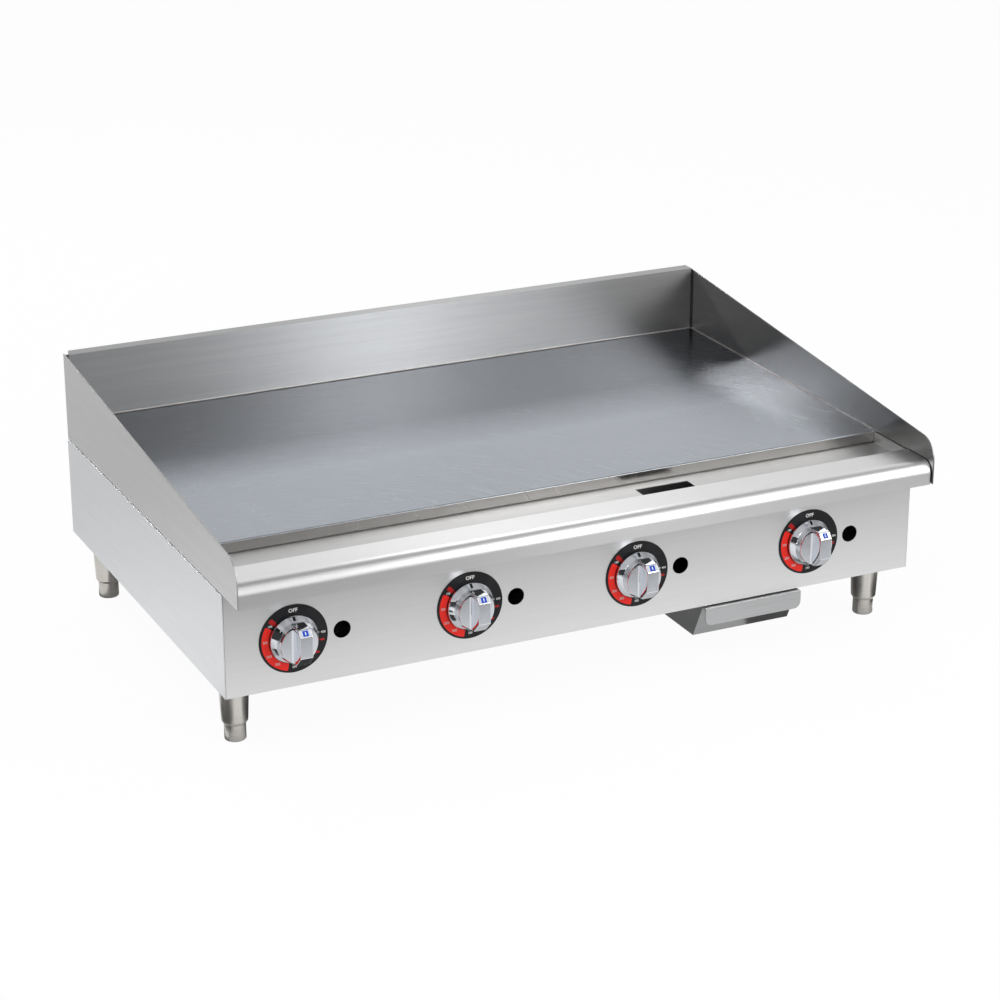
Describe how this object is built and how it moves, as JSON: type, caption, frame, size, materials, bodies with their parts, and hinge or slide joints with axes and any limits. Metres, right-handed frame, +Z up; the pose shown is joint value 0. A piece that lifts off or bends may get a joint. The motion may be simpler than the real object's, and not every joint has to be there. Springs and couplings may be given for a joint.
{
  "type": "countertop gas griddle",
  "caption": "Wide stainless countertop gas griddle with a ground steel plate, three splash guards, front grease trough, pull-out grease drawer, thermostat knobs and short adjustable legs.",
  "frame": {"origin": "on the counter, under the middle of the outline", "axes": "+X to the right seen from the front, +Y to the rear, +Z up"},
  "size_m": [1.219, 0.828, 0.4305],
  "materials": {
    "ground_steel": "ground satin with grinding marks",
    "splash_steel": "fine horizontal brushing",
    "trough_steel": "satin",
    "rail_steel": "fine brushing along the rail",
    "panel_steel": "fine satin",
    "zinc_sheet": "galvanised, dull",
    "black_frame": "heat-proof black, matt",
    "black_pipe": "black pipe varnish",
    "drawer_steel": "satin",
    "leg_nickel": "satin nickel",
    "foot_nickel": "satin nickel",
    "knob_chrome": "polished",
    "dial_black": "black enamel with printed scale",
    "gas_brass": "turned",
    "gas_aluminium": "drawn tube",
    "gas_copper": "drawn copper",
    "thermostat_cast": "die cast, dull",
    "burner_steel": "aluminised steel tube"
  },
  "bodies": {
    "griddle": {"griddle_plate": "ground_steel", "back_splash": "splash_steel", "left_splash": "splash_steel", "right_splash": "splash_steel", "grease_trough": "trough_steel", "front_rail": "rail_steel", "grease_chute": "trough_steel", "control_panel": "panel_steel", "left_side_panel": "panel_steel", "right_side_panel": "panel_steel", "back_panel": "zinc_sheet", "bottom_panel": "zinc_sheet", "heat_shield": "zinc_sheet", "plate_crossmembers": "black_frame", "side_supports": "black_frame", "burner_rest": "zinc_sheet", "drawer_rails": "trough_steel", "leg_front_left": "leg_nickel", "leg_front_right": "leg_nickel", "leg_rear_left": "leg_nickel", "leg_rear_right": "leg_nickel", "leg_plates": "zinc_sheet", "leg_nuts": "zinc_sheet", "dial_1": "dial_black", "dial_2": "dial_black", "dial_3": "dial_black", "dial_4": "dial_black", "thermostat_1": "thermostat_cast", "thermostat_2": "thermostat_cast", "thermostat_3": "thermostat_cast", "thermostat_4": "thermostat_cast", "burner_1": "burner_steel", "burner_2": "burner_steel", "burner_3": "burner_steel", "burner_4": "burner_steel", "gas_manifold": "black_pipe", "manifold_brackets": "zinc_sheet", "gas_tubes": "gas_aluminium", "orifice_elbows": "gas_brass", "inlet_pipe": "black_pipe", "pilots": "gas_aluminium", "sensor_bulbs": "gas_copper", "screws": "zinc_sheet"},
    "drawer": {"grease_drawer": "drawer_steel"},
    "control_1": {"knob_1": "knob_chrome", "stem_1": "gas_brass"},
    "control_2": {"knob_2": "knob_chrome", "stem_2": "gas_brass"},
    "control_3": {"knob_3": "knob_chrome", "stem_3": "gas_brass"},
    "control_4": {"knob_4": "knob_chrome", "stem_4": "gas_brass"},
    "shutter_1": {"air_shutter_1": "burner_steel"},
    "shutter_2": {"air_shutter_2": "burner_steel"},
    "shutter_3": {"air_shutter_3": "burner_steel"},
    "shutter_4": {"air_shutter_4": "burner_steel"},
    "foot_unit_front_left": {"foot_front_left": "foot_nickel"},
    "foot_unit_front_right": {"foot_front_right": "foot_nickel"},
    "foot_unit_rear_left": {"foot_rear_left": "foot_nickel"},
    "foot_unit_rear_right": {"foot_rear_right": "foot_nickel"}
  },
  "joints": [
    {"name": "grease_drawer_slide", "type": "slide", "parent": "griddle", "child": "drawer", "axis": [0, -1, 0], "range_m": [0, 0.36]},
    {"name": "knob_1_turn", "type": "hinge", "parent": "griddle", "child": "control_1", "pos_m": [-0.497, -0.351, 0.182], "axis": [0, -1, 0], "range_deg": [0, 270]},
    {"name": "knob_2_turn", "type": "hinge", "parent": "griddle", "child": "control_2", "pos_m": [-0.202, -0.351, 0.182], "axis": [0, -1, 0], "range_deg": [0, 270]},
    {"name": "knob_3_turn", "type": "hinge", "parent": "griddle", "child": "control_3", "pos_m": [0.093, -0.351, 0.182], "axis": [0, -1, 0], "range_deg": [0, 270]},
    {"name": "knob_4_turn", "type": "hinge", "parent": "griddle", "child": "control_4", "pos_m": [0.413, -0.351, 0.182], "axis": [0, -1, 0], "range_deg": [0, 270]},
    {"name": "air_shutter_1_turn", "type": "hinge", "parent": "griddle", "child": "shutter_1", "pos_m": [-0.45713, -0.218, 0.225], "axis": [0, 1, 0], "range_deg": [0, 39]},
    {"name": "air_shutter_2_turn", "type": "hinge", "parent": "griddle", "child": "shutter_2", "pos_m": [-0.15238, -0.218, 0.225], "axis": [0, 1, 0], "range_deg": [0, 39]},
    {"name": "air_shutter_3_turn", "type": "hinge", "parent": "griddle", "child": "shutter_3", "pos_m": [0.15238, -0.218, 0.225], "axis": [0, 1, 0], "range_deg": [0, 39]},
    {"name": "air_shutter_4_turn", "type": "hinge", "parent": "griddle", "child": "shutter_4", "pos_m": [0.45713, -0.218, 0.225], "axis": [0, 1, 0], "range_deg": [0, 39]},
    {"name": "foot_front_left_adjust", "type": "slide", "parent": "griddle", "child": "foot_unit_front_left", "axis": [0, 0, -1], "range_m": [0, 0.02]},
    {"name": "foot_front_right_adjust", "type": "slide", "parent": "griddle", "child": "foot_unit_front_right", "axis": [0, 0, -1], "range_m": [0, 0.02]},
    {"name": "foot_rear_left_adjust", "type": "slide", "parent": "griddle", "child": "foot_unit_rear_left", "axis": [0, 0, -1], "range_m": [0, 0.02]},
    {"name": "foot_rear_right_adjust", "type": "slide", "parent": "griddle", "child": "foot_unit_rear_right", "axis": [0, 0, -1], "range_m": [0, 0.02]}
  ]
}
